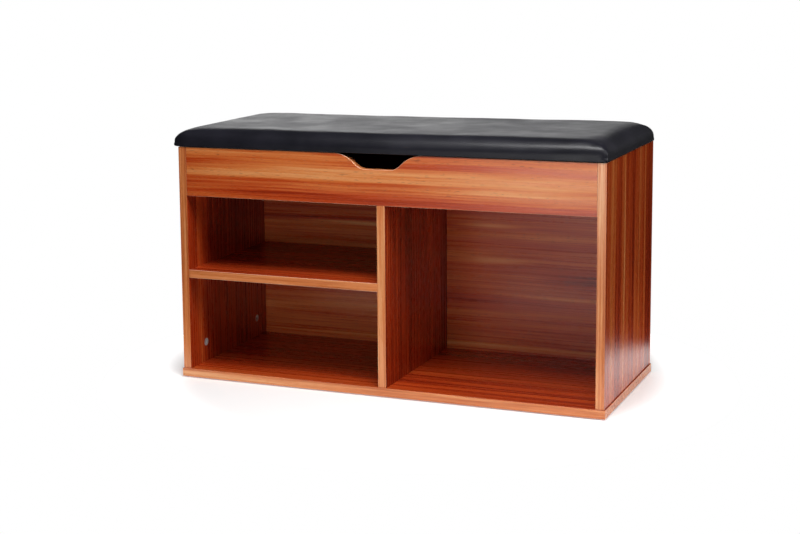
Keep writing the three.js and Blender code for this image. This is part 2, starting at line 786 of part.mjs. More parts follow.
function addStay(name, side) {
  const inward = -side;
  const wallX = side * sideInnerX;
  const at = (offset, pivot) => [wallX + inward * offset, pivot.x, pivot.y];
  const angleTo = (from, to) => Math.atan2(to.y - from.y, to.x - from.x);
  const { wallPivot, lidPivot, elbow } = pivots;
  const halfArm = armThickness / 2;
  const facing = [0, 0, side > 0 ? Math.PI : 0];

  addPart(cabinet, `${name}_stay_cabinet_plate`, cabinetPlateGeometry(), zincSteel,
    at(stayGap + stayPlateThickness / 2, wallPivot));
  addPart(stays, `${name}_stay_lower_arm`, armGeometry(wallPivot.distanceTo(elbow)), zincSteel,
    at(lowerArmX, wallPivot), [angleTo(wallPivot, elbow), 0, 0]);
  addPart(stays, `${name}_stay_upper_arm`, armGeometry(elbow.distanceTo(lidPivot)), zincSteel,
    at(upperArmX, elbow), [angleTo(elbow, lidPivot), 0, 0]);
  addPart(lid, `${name}_stay_lid_bracket`, lidBracketGeometry(side), zincSteel, at(lidPlateX, lidPivot));

  const armFace = lowerArmX + halfArm + rivetClearance;
  const cabinetRivet = rivetGeometry(2 * stayGap, armFace + rivetHeadThickness,
    [[armFace, armFace + rivetHeadThickness]]);
  addPart(cabinet, `${name}_stay_cabinet_rivet`, cabinetRivet, zincSteel, at(0, wallPivot), facing);

  const outerFace = lowerArmX - halfArm - rivetClearance;
  const innerFace = upperArmX + halfArm + rivetClearance;
  const elbowRivet = rivetGeometry(outerFace - rivetHeadThickness, innerFace + rivetHeadThickness,
    [[outerFace - rivetHeadThickness, outerFace], [innerFace, innerFace + rivetHeadThickness]]);
  addPart(stays, `${name}_stay_elbow_rivet`, elbowRivet, zincSteel, at(0, elbow), facing);

  const plateFace = lidPlateX + stayPlateThickness / 2 + rivetClearance;
  const lidRivet = rivetGeometry(lidPlateX - stayPlateThickness / 2, plateFace + rivetHeadThickness,
    [[plateFace, plateFace + rivetHeadThickness]]);
  addPart(lid, `${name}_stay_lid_rivet`, lidRivet, zincSteel, at(0, lidPivot), facing);
}

addBase();
addSidePanels();
addDivider();
addShelf();
addTrayFloor();
addBackPanel();
addFascia();
addGlides();
addCamJoints();
addLid();
addBumpers();
addHinges();
addStay('left', -1);
addStay('right', 1);

export default bench;
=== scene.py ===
"""Looks for the entryway bench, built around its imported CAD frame. Metres, +Z up, front towards -Y."""

import math

import bmesh
import bpy
import numpy as np
from mathutils import Matrix, Vector, noise


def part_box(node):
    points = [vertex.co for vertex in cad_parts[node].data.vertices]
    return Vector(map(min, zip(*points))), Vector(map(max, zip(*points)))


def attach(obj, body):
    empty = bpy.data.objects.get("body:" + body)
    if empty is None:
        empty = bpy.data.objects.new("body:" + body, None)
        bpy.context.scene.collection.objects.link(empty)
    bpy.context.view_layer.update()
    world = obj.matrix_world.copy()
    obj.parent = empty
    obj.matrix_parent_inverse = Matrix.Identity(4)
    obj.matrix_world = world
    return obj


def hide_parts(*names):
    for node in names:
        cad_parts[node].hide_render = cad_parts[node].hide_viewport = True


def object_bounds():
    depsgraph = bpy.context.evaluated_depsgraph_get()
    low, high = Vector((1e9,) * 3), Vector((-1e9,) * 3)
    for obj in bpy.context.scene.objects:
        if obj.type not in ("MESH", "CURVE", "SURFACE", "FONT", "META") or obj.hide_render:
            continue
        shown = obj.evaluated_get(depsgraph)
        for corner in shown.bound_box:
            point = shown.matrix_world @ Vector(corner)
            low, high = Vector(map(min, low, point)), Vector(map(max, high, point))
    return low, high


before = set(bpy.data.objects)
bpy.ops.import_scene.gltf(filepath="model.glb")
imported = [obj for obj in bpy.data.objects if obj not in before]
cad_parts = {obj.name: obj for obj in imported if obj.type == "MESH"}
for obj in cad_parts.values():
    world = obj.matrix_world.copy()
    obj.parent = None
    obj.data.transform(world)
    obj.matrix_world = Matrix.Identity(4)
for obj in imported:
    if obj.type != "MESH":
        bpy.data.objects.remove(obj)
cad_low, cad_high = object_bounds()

MM = 0.001
scene = bpy.context.scene

# ---- Camera ----
CAMERA_PLACE = (1.042365, -2.745093, 0.769590)
CAMERA_YAW = 0.4282
CAMERA_PITCH = -0.1454
CAMERA_ROLL = -0.0153
CAMERA_LENS = 72.7365
CAMERA_SHIFT = (0.1116, -0.09)

# ---- Boards ----
EDGE_EASE = 0.8 * MM
FITTING_EASE = 0.2 * MM
JOIN_DISTANCE = 0.01 * MM
SHARP_EDGE = math.radians(32)
BOARD_GRAIN = {
    "base_board": "x",
    "left_side_panel": "z",
    "right_side_panel": "z",
    "centre_divider": "z",
    "left_bay_shelf": "x",
    "tray_floor": "x",
    "back_panel": "x",
    "front_fascia": "x",
}


# ---- Node helpers ----

class Shader:
    """A material under construction: each call adds one node and returns its useful output."""

    def __init__(self, name):
        self.material = bpy.data.materials.new(name)
        self.material.use_nodes = True
        self.tree = self.material.node_tree
        self.tree.nodes.clear()
        self.output = self.tree.nodes.new("ShaderNodeOutputMaterial")
        self.surface = self.tree.nodes.new("ShaderNodeBsdfPrincipled")
        self.tree.links.new(self.surface.outputs[0], self.output.inputs["Surface"])

    def node(self, kind, **settings):
        made = self.tree.nodes.new("ShaderNode" + kind)
        for key, value in settings.items():
            setattr(made, key, value)
        return made

    def plug(self, socket, value):
        if isinstance(value, bpy.types.NodeSocket):
            self.tree.links.new(value, socket)
        elif value is not None:
            socket.default_value = value

    def place(self, kind="Object"):
        return self.node("TexCoord").outputs[kind]

    def stretch(self, vector, scale, offset=(0, 0, 0)):
        mapping = self.node("Mapping")
        self.plug(mapping.inputs["Vector"], vector)
        mapping.inputs["Scale"].default_value = scale
        mapping.inputs["Location"].default_value = offset
        return mapping.outputs[0]

    def noise(self, vector, scale=1.0, detail=2.0, roughness=0.5):
        made = self.node("TexNoise", noise_dimensions="3D")
        self.plug(made.inputs["Vector"], vector)
        made.inputs["Scale"].default_value = scale
        made.inputs["Detail"].default_value = detail
        made.inputs["Roughness"].default_value = roughness
        return made.outputs["Fac"]

    def cells(self, vector, scale, feature="F1", output="Distance", randomness=1.0):
        made = self.node("TexVoronoi", feature=feature)
        self.plug(made.inputs["Vector"], vector)
        made.inputs["Scale"].default_value = scale
        made.inputs["Randomness"].default_value = randomness
        return made.outputs[output]

    def math(self, operation, a, b=None, clamp=False):
        made = self.node("Math", operation=operation, use_clamp=clamp)
        self.plug(made.inputs[0], a)
        self.plug(made.inputs[1], b)
        return made.outputs[0]

    def add(self, a, b):
        return self.math("ADD", a, b)

    def times(self, a, b):
        return self.math("MULTIPLY", a, b)

    def span(self, value, low, high, to_low=0.0, to_high=1.0):
        """Eases low..high into to_low..to_high, and holds the ends."""
        made = self.node("MapRange", interpolation_type="SMOOTHSTEP")
        self.plug(made.inputs["Value"], value)
        made.inputs["From Min"].default_value = low
        made.inputs["From Max"].default_value = high
        made.inputs["To Min"].default_value = to_low
        made.inputs["To Max"].default_value = to_high
        return made.outputs[0]

    def axes(self, vector):
        made = self.node("SeparateXYZ")
        self.plug(made.inputs[0], vector)
        return made.outputs

    def ramp(self, value, stops):
        made = self.node("ValToRGB")
        self.plug(made.inputs[0], value)
        elements = made.color_ramp.elements
        for _ in stops[2:]:
            elements.new(0.5)
        for element, (position, colour) in zip(elements, stops):
            element.position = position
            element.color = (*colour, 1)
        return made.outputs[0]

    def mix(self, factor, a, b):
        made = self.node("Mix", data_type="RGBA")
        self.plug(made.inputs[0], factor)
        for socket, value in ((made.inputs[6], a), (made.inputs[7], b)):
            self.plug(socket, (*value, 1) if isinstance(value, tuple) else value)
        return made.outputs[2]

    def bump(self, height, distance, strength=1.0, below=None):
        made = self.node("Bump")
        self.plug(made.inputs["Height"], height)
        made.inputs["Distance"].default_value = distance
        made.inputs["Strength"].default_value = strength
        self.plug(made.inputs["Normal"], below)
        return made.outputs[0]

    def finish(self, colour, roughness, normal=None, **fixed):
        """Wires the moving values, and sets the ones that are the same all over."""
        inputs = self.surface.inputs
        self.plug(inputs["Base Color"], (*colour, 1) if isinstance(colour, tuple) else colour)
        self.plug(inputs["Roughness"], roughness)
        self.plug(inputs["Normal"], normal)
        for key, value in fixed.items():
            inputs[key.replace("_", " ")].default_value = value
        return self.material


def srgb(code):
    """The linear colour of a six-digit web colour."""
    parts = [int(code[i:i + 2], 16) / 255 for i in (0, 2, 4)]
    return tuple(p / 12.92 if p <= 0.04045 else ((p + 0.055) / 1.055) ** 2.4 for p in parts)


# ---- Printed wood laminate, with its edge strips and raw rear edges ----

PRINT_WANDER = 9 * MM
WOOD_DARK = srgb("4a1408")
WOOD_TONES = [
    (0.0, WOOD_DARK),
    (0.28, srgb("90280c")),
    (0.5, srgb("bb4416")),
    (0.76, srgb("d8783a")),
    (1.0, srgb("e8a266")),
]
STRIP_TONES = [(0.3, srgb("b9602f")), (0.5, srgb("d88048")), (0.72, srgb("eba872"))]
# Painted highlight: a pale colour laid on the boards' eased edges where they catch the light, and how much
# of it is laid on.
EDGE_HIGHLIGHT_COLOUR = srgb("f8cfb0")
EDGE_HIGHLIGHT_SHARE = 0.85
# The print's noise layers: waves per metre across and along the grain, roughness, share of the tone, seed.
PRINT_LAYERS = {
    "broad": (15, 0.7, 0.5, 0.6, 1),
    "bands": (70, 1.3, 0.55, 0.65, 2),
    "lines": (210, 2.2, 0.6, 0.45, 3),
    "fibres": (520, 7.0, 0.6, 0.5, 4),
}
# Waves per metre across and along the grain, and seed.
WANDER_WAVES = (9, 2.4, 5)
PORE_WAVES = (800, 70.0, 6)
STRIP_WAVES = (260, 5.0, 8)
STRIP_DRIFT = 0.5
PORE_RANGE = (0.62, 0.72)
FLECK_ZONE = (0.42, 0.62, 0.1, 0.5)
GLOSS_RANGE = (0.4, 1.0, 0.22, 0.34)
PORE_IN_GLOSS = 0.5
REAR_ROUGHNESS = 0.5
FIBRE_DEPTH = 0.02 * MM
PORE_DEPTH = 0.03 * MM
CHIPS_PER_METRE = 420
SEED_STEPS = (1.7, 2.3, 3.1)
BOARD_SEED_STEP = 1.37


def raw_board_colour(make, place):
    """Pressed chips: pale flakes of many tones."""
    flakes = make.cells(place, CHIPS_PER_METRE, output="Color")
    tone = make.noise(place, 60, 3)
    shade = make.add(make.times(make.axes(flakes)[0], 0.6), make.times(tone, 0.4))
    return make.ramp(shade, [(0.2, srgb("6b4a2c")), (0.5, srgb("a98457")), (0.8, srgb("cfb084"))])


def centred(make, value, strength):
    return make.times(make.math("SUBTRACT", value, 0.5), strength)


def grained(make, place, along, seed, waves):
    """A place stretched along the grain, for noise with so many waves per metre across and along it."""
    fine, slow, layer = waves
    return make.stretch(place, grain_scale(along, fine, slow), seed_offset(seed, layer))


def wandering(make, place, along, across, seed):
    """The place, moved a little across the grain, so that the print's lines aren't quite straight."""
    wander = make.noise(grained(make, place, along, seed, WANDER_WAVES), 1, 2)
    shift = make.node("CombineXYZ")
    make.plug(shift.inputs[across], centred(make, wander, PRINT_WANDER))
    moved = make.node("VectorMath", operation="ADD")
    make.plug(moved.inputs[0], place)
    make.plug(moved.inputs[1], shift.outputs[0])
    return moved.outputs[0]


def patch_tone(make, along_part, across_part, patch, low, size):
    """A soft oval patch's change of tone, at its most in its middle. low and size are (along, across)."""
    middle_along, middle_across, half_along, half_across, change = patch
    u = make.math("SUBTRACT", along_part, low[0] + middle_along * size[0])
    v = make.math("SUBTRACT", across_part, low[1] + middle_across * size[1])
    u = make.math("DIVIDE", u, half_along * size[0])
    v = make.math("DIVIDE", v, half_across * size[1])
    reach = make.math("SQRT", make.add(make.times(u, u), make.times(v, v)))
    return make.span(reach, 0.0, 1.0, change, 0.0)


def laminate(name, grain, low, high, patches, light_and_shade_shift, seed):
    """grain is the axis that the print runs along. Each patch is a soft lighter or darker area, print
    streaks on some boards and painted light on the fascia: its middle and half size along and across the
    grain, in shares of the board, and its change. The shift makes the whole print lighter or darker, as
    painted light and shade."""
    make = Shader(name)
    place = make.place()
    size = high - low
    thin = min(range(3), key=lambda i: size[i])
    along = "xyz".index(grain)
    across = next(i for i in range(3) if i not in (thin, along))
    wavy = wandering(make, place, along, across, seed)

    layers = {}
    shares = []
    for layer, (fine, slow, roughness, share, extra) in PRINT_LAYERS.items():
        layers[layer] = make.noise(grained(make, wavy, along, seed, (fine, slow, extra)), 1, 2, roughness)
        shares.append(centred(make, layers[layer], share))
    pores = make.noise(grained(make, wavy, along, seed, PORE_WAVES), 1, 1)

    tone = shares[0]
    for share in shares[1:]:
        tone = make.add(tone, share)
    parts = make.axes(wavy)
    # Patches add print streaks and, on the fascia, painted light.
    for patch in patches:
        change = patch_tone(make, parts[along], parts[across], patch,
                            (low[along], low[across]), (size[along], size[across]))
        tone = make.add(tone, change)
    # The whole-print shift here is painted light and shade.
    print_colour = make.ramp(make.add(tone, 0.5 + light_and_shade_shift), WOOD_TONES)
    fleck = make.times(make.span(pores, *PORE_RANGE), make.span(layers["bands"], *FLECK_ZONE))
    print_colour = make.mix(fleck, print_colour, WOOD_DARK)

    strip_tone = make.noise(grained(make, place, along, seed, STRIP_WAVES), 1, 3, 0.6)
    strip_tone = make.add(strip_tone, centred(make, layers["broad"], STRIP_DRIFT))
    strip_colour = make.ramp(strip_tone, STRIP_TONES)

    facing = make.axes(make.place("Normal"))
    flat = make.math("ABSOLUTE", facing[thin])
    on_strip = make.span(flat, 0.55, 0.75, 1.0, 0.0)
    # Painted highlight on the eased edges, picked out by their slanting normals.
    on_edge_highlight = make.times(make.span(flat, 0.12, 0.4), make.span(flat, 0.8, 0.97, 1.0, 0.0))
    colour = make.mix(on_strip, print_colour, strip_colour)
    colour = make.mix(make.times(on_edge_highlight, EDGE_HIGHLIGHT_SHARE), colour, EDGE_HIGHLIGHT_COLOUR)
    rough = make.span(make.add(layers["lines"], make.times(pores, PORE_IN_GLOSS)), *GLOSS_RANGE)
    if thin != 1:
        on_rear = make.span(facing[1], 0.8, 0.9)
        colour = make.mix(on_rear, colour, raw_board_colour(make, place))
        rough = make.math("ADD", rough, make.times(on_rear, REAR_ROUGHNESS), clamp=True)

    grain_bump = make.bump(layers["fibres"], FIBRE_DEPTH, 0.6)
    grain_bump = make.bump(pores, PORE_DEPTH, 0.5, grain_bump)
    return make.finish(colour, rough, grain_bump, IOR=1.52)


def grain_scale(along, fine, slow):
    scale = [fine] * 3
    scale[along] = slow
    return tuple(scale)


def seed_offset(seed, layer):
    return tuple(seed * step + layer for step in SEED_STEPS)


def join_corners(node):
    node.modifiers.new("join", "WELD").merge_threshold = JOIN_DISTANCE


def ease_edges(board, width):
    """Rounds a CAD board's sharp edges a little, so that they catch the light."""
    join_corners(board)
    flatten = board.modifiers.new("flatten", "DECIMATE")
    flatten.decimate_type = "DISSOLVE"
    flatten.angle_limit = math.radians(1)
    ease = board.modifiers.new("ease", "BEVEL")
    ease.width = width
    ease.segments = 2
    ease.limit_method = "ANGLE"
    ease.angle_limit = math.radians(40)
    ease.use_clamp_overlap = True
    ease.harden_normals = False
    board.modifiers.new("shade", "WEIGHTED_NORMAL").keep_sharp = False


def smooth_group():
    """A node group that shades faces smooth, and keeps the edges sharper than SHARP_EDGE crisp."""
    group = bpy.data.node_groups.new("smooth_by_angle", "GeometryNodeTree")
    group.interface.new_socket("Geometry", in_out="INPUT", socket_type="NodeSocketGeometry")
    group.interface.new_socket("Geometry", in_out="OUTPUT", socket_type="NodeSocketGeometry")
    start = group.nodes.new("NodeGroupInput")
    end = group.nodes.new("NodeGroupOutput")
    angle = group.nodes.new("GeometryNodeInputMeshEdgeAngle")
    low_angle = group.nodes.new("FunctionNodeCompare")
    faces = group.nodes.new("GeometryNodeSetShadeSmooth")
    edges = group.nodes.new("GeometryNodeSetShadeSmooth")
    edges.domain = "EDGE"
    low_angle.operation = "LESS_THAN"
    low_angle.inputs[1].default_value = SHARP_EDGE
    group.links.new(start.outputs[0], faces.inputs["Geometry"])
    group.links.new(angle.outputs["Unsigned Angle"], low_angle.inputs[0])
    group.links.new(faces.outputs[0], edges.inputs["Geometry"])
    group.links.new(low_angle.outputs[0], edges.inputs["Shade Smooth"])
    group.links.new(edges.outputs[0], end.inputs[0])
    return group


def dress(piece, material):
    piece.data.materials.clear()
    piece.data.materials.append(material)


# Where each board is lighter or darker: middle and half size along and across the grain, and tone. On the
# back panel and the right side panel these are streaks of the print. On the fascia the lighter right end is
# a painted reflection of a softbox; the fascia is also lighter through its middle left and darker along its
# top and bottom edges.
PRINT_AND_PAINTED_LIGHT_PATCHES = {
    "front_fascia": [
        (0.34, 0.62, 0.50, 0.34, 0.22), (0.02, 0.8, 0.25, 0.6, 0.05), (0.25, 0.08, 0.6, 0.32, -0.06),
        # This first patch, the fascia's lighter right end, is a painted reflection of a softbox.
        (0.85, 0.5, 0.45, 0.6, 0.24), (0.5, 1.0, 0.6, 0.12, -0.14)],
    "back_panel": [
        (0.33, 0.565, 0.26, 0.014, 0.40), (0.62, 0.59, 0.14, 0.016, 0.40), (0.64, 0.425, 0.14, 0.02, 0.30),
        (0.5, 0.026, 0.8, 0.022, 0.40), (0.9, 0.352, 0.22, 0.05, -0.30), (0.8, 0.27, 0.25, 0.008, 0.25),
        (0.3, 0.2, 0.3, 0.1, 0.1)],
    "right_side_panel": [
        (0.5, 0.12, 1.2, 0.03, 0.15), (0.6, 0.38, 1.2, 0.016, 0.30), (0.6, 0.70, 1.2, 0.012, 0.30),
        (0.5, 0.83, 1.2, 0.02, 0.25), (0.5, 0.26, 1.2, 0.08, -0.20), (0.5, 0.55, 1.2, 0.09, -0.25),
        (0.5, 0.94, 1.2, 0.05, -0.22)],
}
# Painted light and shade: each board's whole print is made darker or lighter to stand in for how much light
# falls on it. The left side panel, divider, shelf and base sit in the bays' shade and are painted darker;
# the back panel and fascia are painted lighter; the right side panel is a touch darker.
LIGHT_AND_SHADE_SHIFTS = {
    "left_side_panel": -0.10,
    "right_side_panel": -0.01,
    "centre_divider": -0.20,
    "left_bay_shelf": -0.14,
    "base_board": -0.10,
    "back_panel": 0.07,
    "front_fascia": 0.06,
}


def dress_boards():
    for i, (name, grain) in enumerate(BOARD_GRAIN.items()):
        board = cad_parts[name]
        low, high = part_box(name)
        look = laminate("laminate_" + name, grain, low, high, PRINT_AND_PAINTED_LIGHT_PATCHES.get(name, ()),
                        LIGHT_AND_SHADE_SHIFTS.get(name, 0.0), seed=BOARD_SEED_STEP * (i + 1))
        dress(board, look)
        ease_edges(board, EDGE_EASE)


# ---- Metal, plastic and rubber ----

METAL_SHADE = 0.72
PLASTIC_SHADE = 0.8
ROUGHNESS_SPREAD = 0.08
SCRATCH_WAVES = (900, 60, 900)
SCRATCH_DEPTH = 0.01 * MM
MOULD_DEPTH = 0.03 * MM


def shaded(code, share):
    return tuple(share * part for part in srgb(code))


def metal(name, code, rough_low, rough_high, cloud_waves, metallic=1.0):
    make = Shader(name)
    place = make.place()
    cloud = make.noise(place, cloud_waves, 4, 0.6)
    scratch = make.noise(make.stretch(place, SCRATCH_WAVES), 1, 3, 0.6)
    colour = make.mix(make.span(cloud, 0.3, 0.7), shaded(code, METAL_SHADE), srgb(code))
    wear = make.add(make.times(cloud, 0.6), make.times(scratch, 0.4))
    rough = make.span(wear, 0.3, 0.7, rough_low, rough_high)
    return make.finish(colour, rough, make.bump(scratch, SCRATCH_DEPTH, 0.5), Metallic=metallic)


def moulded(name, code, roughness, scale):
    make = Shader(name)
    place = make.place()
    cloud = make.noise(place, scale, 4, 0.6)
    colour = make.mix(make.span(cloud, 0.3, 0.7), shaded(code, PLASTIC_SHADE), srgb(code))
    rough = make.span(cloud, 0.3, 0.7, roughness - ROUGHNESS_SPREAD, roughness + ROUGHNESS_SPREAD)
    return make.finish(colour, rough, make.bump(cloud, MOULD_DEPTH, 0.6))


# ---- Faux leather ----

LEATHER_TONES = [(0.3, srgb("131318")), (0.7, srgb("1f1e27"))]
LEATHER_GLOSS = (0.4, 0.9, 0.31, 0.43)
PEBBLES_PER_METRE = 900
CREASES_PER_METRE = 380
PEBBLE_DEPTH = 0.06 * MM
CREASE_DEPTH = 0.05 * MM


def faux_leather():
    make = Shader("faux_leather")
    place = make.place()
    pebbles = make.cells(place, PEBBLES_PER_METRE, "SMOOTH_F1")
    creases = make.cells(place, CREASES_PER_METRE, "DISTANCE_TO_EDGE")
    cloud = make.noise(place, 14, 3, 0.55)
    speck = make.noise(place, 700, 2)
    fine = make.times(speck, 0.3)
    colour = make.ramp(make.add(make.times(cloud, 0.7), fine), LEATHER_TONES)
    rough = make.span(make.add(cloud, fine), *LEATHER_GLOSS)
    height = make.bump(pebbles, PEBBLE_DEPTH, 0.6)
    height = make.bump(make.span(creases, 0.0, 0.12), CREASE_DEPTH, 0.5, height)
    return make.finish(colour, rough, height,
                       Specular_IOR_Level=0.3, Sheen_Weight=0.05, Sheen_Roughness=0.4)


PLATE_WORDS = ("_leaf", "_arm", "_plate", "_bracket")
STEEL_WORDS = ("_dowel", "_hinge_", "_screw_", "_stay_")


def dress_small_nodes():
    zinc = metal("zinc_steel", "c6c8ca", 0.22, 0.40, 350)
    cast = metal("cast_zinc", "e8e9ea", 0.42, 0.60, 600, metallic=0.35)
    plastic = moulded("glide_plastic", "2c2622", 0.55, 500)
    rubber = moulded("soft_rubber", "d9d6cf", 0.4, 300)
    smooth = smooth_group()
    for name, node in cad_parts.items():
        if name in BOARD_GRAIN or name.startswith(("lid_", "seat_")):
            continue
        if "screw" not in name and any(word in name for word in PLATE_WORDS):
            ease_edges(node, FITTING_EASE)
        else:
            join_corners(node)
            node.modifiers.new("smooth", "NODES").node_group = smooth
        if name.endswith("_cam_lock"):
            dress(node, cast)
        elif name.endswith("_glide"):
            dress(node, plastic)
        elif name.endswith("_lid_bumper"):
            dress(node, rubber)
        elif any(word in name for word in STEEL_WORDS):
            dress(node, zinc)


# ---- Padded lid: cover, foam and lining ----

COVER_THICKNESS = 0.9 * MM
COVER_GAP = 0.3 * MM
COVER_CORNER = 5 * MM
COVER_ROUNDING = 15 * MM
COVER_TURN_IN = 22 * MM
COVER_DROP = 6 * MM
COVER_SOFTENING = 0.3
# Where the cover's wall goes below its cut rim: how far in from the wall, and how far above the bottom.
SKIRT = [
    (0.0, 5 * MM), (0.0, 3.2 * MM), (0.0, 2 * MM), (0.0, 1.2 * MM), (0.3 * MM, 0.3 * MM), (1.2 * MM, 0.0)]
HEM_CORNER = 3 * MM
# The ends are the outer tenth of the half width.
END_START = 0.9
END_SHARE = 10
LEFT_BULGE = 8 * MM
BULGE_AT_HEM = 0.5
BULGE_TOP = 0.35
RIGHT_FULLNESS = 2.4 * MM
FULL_FROM = 0.75
RIGHT_SLOPE = 5.5 * MM
HEM_CURL = 2.5 * MM
EASE_POWER = 1.5
# Low waves of the cover: waves per metre along X and Y, and along Z, an offset, and the height.
WAVE = (9, 14, 3.7, 0.9 * MM)
RIPPLE = (31, 18, 9.1, 0.35 * MM)
CORNER_STEPS = 5
ROUNDING_STEPS = 8
COVER_RIM = 7 * MM
SPRING_OF_FOAM = 0.12
HOLD_FADE = 2.5
CLOTH_VOXEL = 7 * MM
CLOTH_FRAMES = 10
CLOTH_QUALITY = 3
CLOTH_CAP = 4 * MM
CLOTH_PRESSURE = 4.0
CLOTH_MASS = 0.4
CLOTH_TENSION = 5
CLOTH_BENDING = 0.5
CLOTH_HOLD = 0.6
TINY = 1e-12
LINING_STEPS = (96, 40)
LINING_THICKNESS = 0.5 * MM
LINING_SLACK = 0.3 * MM
PUCKER_SHARE = 0.6
PUCKER_REACH = 12 * MM
LINING_WAVES = 14
LINING_OFFSET = 1.3
STAPLE_STEP = 62 * MM
STAPLE_LENGTH = 9 * MM
STAPLE_WIRE = 0.7 * MM
STAPLE_INSET = 6 * MM


def plan_ring(half_width, half_depth, corner, height):
    """Points round a rectangle with round corners, at one height."""
    points = []
    for turn, (sx, sy) in enumerate(((1, -1), (1, 1), (-1, 1), (-1, -1))):
        for step in range(CORNER_STEPS + 1):
            angle = math.pi / 2 * (turn - 1 + step / CORNER_STEPS)
            points.append((sx * (half_width - corner) + corner * math.cos(angle),
                           sy * (half_depth - corner) + corner * math.sin(angle), height))
    return points


def new_piece(name, edit):
    mesh = bpy.data.meshes.new(name)
    edit.to_mesh(mesh)
    edit.free()
    piece = bpy.data.objects.new(name, mesh)
    scene.collection.objects.link(piece)
    return piece


def loft(rings):
    """A closed body through rings with the same number of points."""
    edit = bmesh.new()
    rows = [[edit.verts.new(p) for p in ring] for ring in rings]
    count = len(rows[0])
    for lower, upper in zip(rows, rows[1:]):
        for i in range(count):
            j = (i + 1) % count
            edit.faces.new((lower[i], lower[j], upper[j], upper[i]))
    edit.faces.new(rows[0][::-1])
    edit.faces.new(rows[-1])
    return edit


def pad_rings(half_width, half_depth, bottom, top):
    """An upright rim, then a quarter round into the flat top."""
    rings = [plan_ring(half_width, half_depth, COVER_CORNER, bottom)]
    for step in range(ROUNDING_STEPS + 1):
        angle = math.pi / 2 * step / ROUNDING_STEPS
        inset = COVER_ROUNDING * (1 - math.cos(angle))
        height = top - COVER_ROUNDING * (1 - math.sin(angle))
        corner = COVER_CORNER + COVER_SOFTENING * inset
        rings.append(plan_ring(half_width - inset, half_depth - inset, corner, height))
    return rings


def baked(piece):
    """Replaces a piece's mesh by what its modifiers make of it."""
    depsgraph = bpy.context.evaluated_depsgraph_get()
    result = bpy.data.meshes.new_from_object(piece.evaluated_get(depsgraph))
    piece.modifiers.clear()
    piece.data = result


def stretch_cover(piece, rim, top):
    """Blows the cover up a little over its foam. It is held along its rim, where it is pulled tight round
    the board."""
    held = piece.vertex_groups.new(name="held")
    before = np.array([v.co for v in piece.data.vertices])
    for i, point in enumerate(before):
        lift = (point[2] - rim) / (top - rim)
        held.add([i], max(SPRING_OF_FOAM, 1.0 - HOLD_FADE * lift), "REPLACE")
    cloth = piece.modifiers.new("cloth", "CLOTH")
    cloth.settings.quality = CLOTH_QUALITY
    cloth.settings.mass = CLOTH_MASS
    cloth.settings.tension_stiffness = CLOTH_TENSION
    cloth.settings.bending_stiffness = CLOTH_BENDING
    cloth.settings.use_pressure = True
    cloth.settings.uniform_pressure_force = CLOTH_PRESSURE
    cloth.settings.effector_weights.gravity = 0
    cloth.settings.vertex_group_mass = "held"
    cloth.settings.pin_stiffness = CLOTH_HOLD
    cloth.collision_settings.use_collision = False
    for step in range(1, CLOTH_FRAMES + 1):
        scene.frame_set(step)
    baked(piece)
    scene.frame_set(1)
    after = np.array([v.co for v in piece.data.vertices])
    move = after - before
    length = np.linalg.norm(move, axis=1, keepdims=True) + TINY
    after = before + move / length * CLOTH_CAP * np.tanh(length / CLOTH_CAP)
    piece.data.vertices.foreach_set("co", after.ravel())
    piece.data.update()


def end_share(x):
    """0 up to the start of the right end, and 1 at its tip."""
    return max(0.0, x / cad_high.x - END_START) * END_SHARE


def shape_cover(piece, bottom, top):
    """Low waves all over, a left end that swells over the cabinet, and a fuller right half that slopes down
    at its end."""
    for vertex in piece.data.vertices:
        x, y, z = vertex.co
        lift = max(0.0, min(1.0, (z - bottom) / (top - bottom)))
        curl = 1.0 - min(1.0, max(0.0, z - bottom) / HEM_CURL)
        belly = BULGE_AT_HEM + (1 - BULGE_AT_HEM) * math.sqrt(max(0.0, 1.0 - curl * curl))
        belly *= 1.0 - max(0.0, (lift - BULGE_TOP) / (1 - BULGE_TOP)) ** EASE_POWER
        rise = RIGHT_FULLNESS * max(0.0, min(1.0, x / (FULL_FROM * cad_high.x)))
        rise -= RIGHT_SLOPE * end_share(x) ** EASE_POWER
        push = 0.0
        for waves, waves_up, offset, height in (WAVE, RIPPLE):
            push += height * noise.noise(Vector((x * waves, y * waves, z * waves_up + offset)))
        swell = Vector((-LEFT_BULGE * end_share(-x) * belly, 0, rise * lift))
        vertex.co += swell + vertex.normal * (push * lift)


def onto_plan(point, half_width, half_depth, corner, height):
    """The nearest place to a point on a rectangle with round corners, at a height."""
    core_x = max(-half_width + corner, min(half_width - corner, point.x))
    core_y = max(-half_depth + corner, min(half_depth - corner, point.y))
    away = Vector((point.x - core_x, point.y - core_y, 0)).normalized() * corner
    return Vector((core_x + away.x, core_y + away.y, height))


def add_skirt(edit, levels):
    """Carries an open rim on through further rings: each level is a plan's half sizes, its corner and its
    height."""
    rim = [e for e in edit.edges if e.is_boundary]
    for half_width, half_depth, corner, height in levels:
        made = bmesh.ops.extrude_edge_only(edit, edges=rim)["geom"]
        for vertex in (part for part in made if isinstance(part, bmesh.types.BMVert)):
            vertex.co = onto_plan(vertex.co, half_width, half_depth, corner, height)
        rim = [part for part in made if isinstance(part, bmesh.types.BMEdge) and part.is_boundary]


def cut_above(edit, height, close=False):
    """Keeps what is above a height, and closes the cut if asked."""
    everything = edit.verts[:] + edit.edges[:] + edit.faces[:]
    cut = bmesh.ops.bisect_plane(edit, geom=everything, plane_co=(0, 0, height), plane_no=(0, 0, 1),
                                 clear_inner=True)
    if close:
        rim = [part for part in cut["geom_cut"] if isinstance(part, bmesh.types.BMEdge)]
        bmesh.ops.contextual_create(edit, geom=rim)


